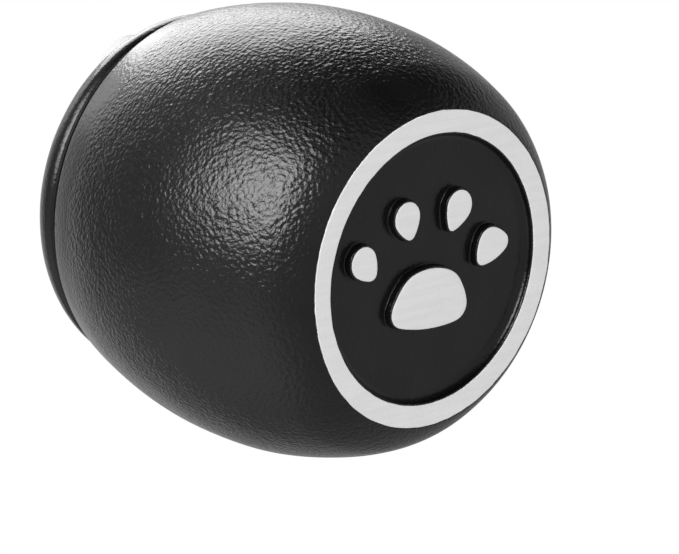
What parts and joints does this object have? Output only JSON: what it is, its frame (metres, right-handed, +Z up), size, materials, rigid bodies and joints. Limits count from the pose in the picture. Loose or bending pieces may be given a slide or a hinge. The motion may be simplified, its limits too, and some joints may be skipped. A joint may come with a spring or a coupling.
{
  "type": "small lidded ceramic jar",
  "caption": "Small round black-glazed ceramic jar with a bare foot ring, raised bare paw-print pads on its base and lid, and a lift-off domed lid with a silicone seal.",
  "frame": {"origin": "centre of the foot ring's resting plane", "axes": "+Z up along the jar's axis towards the lid; +Y the way the toes of both paw prints point"},
  "size_m": [0.075, 0.075, 0.074],
  "materials": {
    "black_glaze": "satin gloss glaze with an orange-peel texture",
    "bare_clay": "unglazed, ground flat and matte",
    "silicone": "matte black"
  },
  "bodies": {
    "jar": {"jar_body": "black_glaze", "foot_ring": "bare_clay", "base_pad_main": "bare_clay", "base_toe_1": "bare_clay", "base_toe_2": "bare_clay", "base_toe_3": "bare_clay", "base_toe_4": "bare_clay"},
    "seal": {"seal_ring": "silicone"},
    "lid": {"lid": "black_glaze", "lid_pad_main": "bare_clay", "lid_toe_1": "bare_clay", "lid_toe_2": "bare_clay", "lid_toe_3": "bare_clay", "lid_toe_4": "bare_clay"}
  },
  "joints": [
    {"name": "lid_lift", "type": "slide", "parent": "jar", "child": "seal", "axis": [0, 0, 1], "range_m": [0, 0.02]},
    {"name": "lid_turn", "type": "hinge", "parent": "seal", "child": "lid", "pos_m": [0, 0, 0.0603], "axis": [0, 0, 1], "continuous": true}
  ]
}
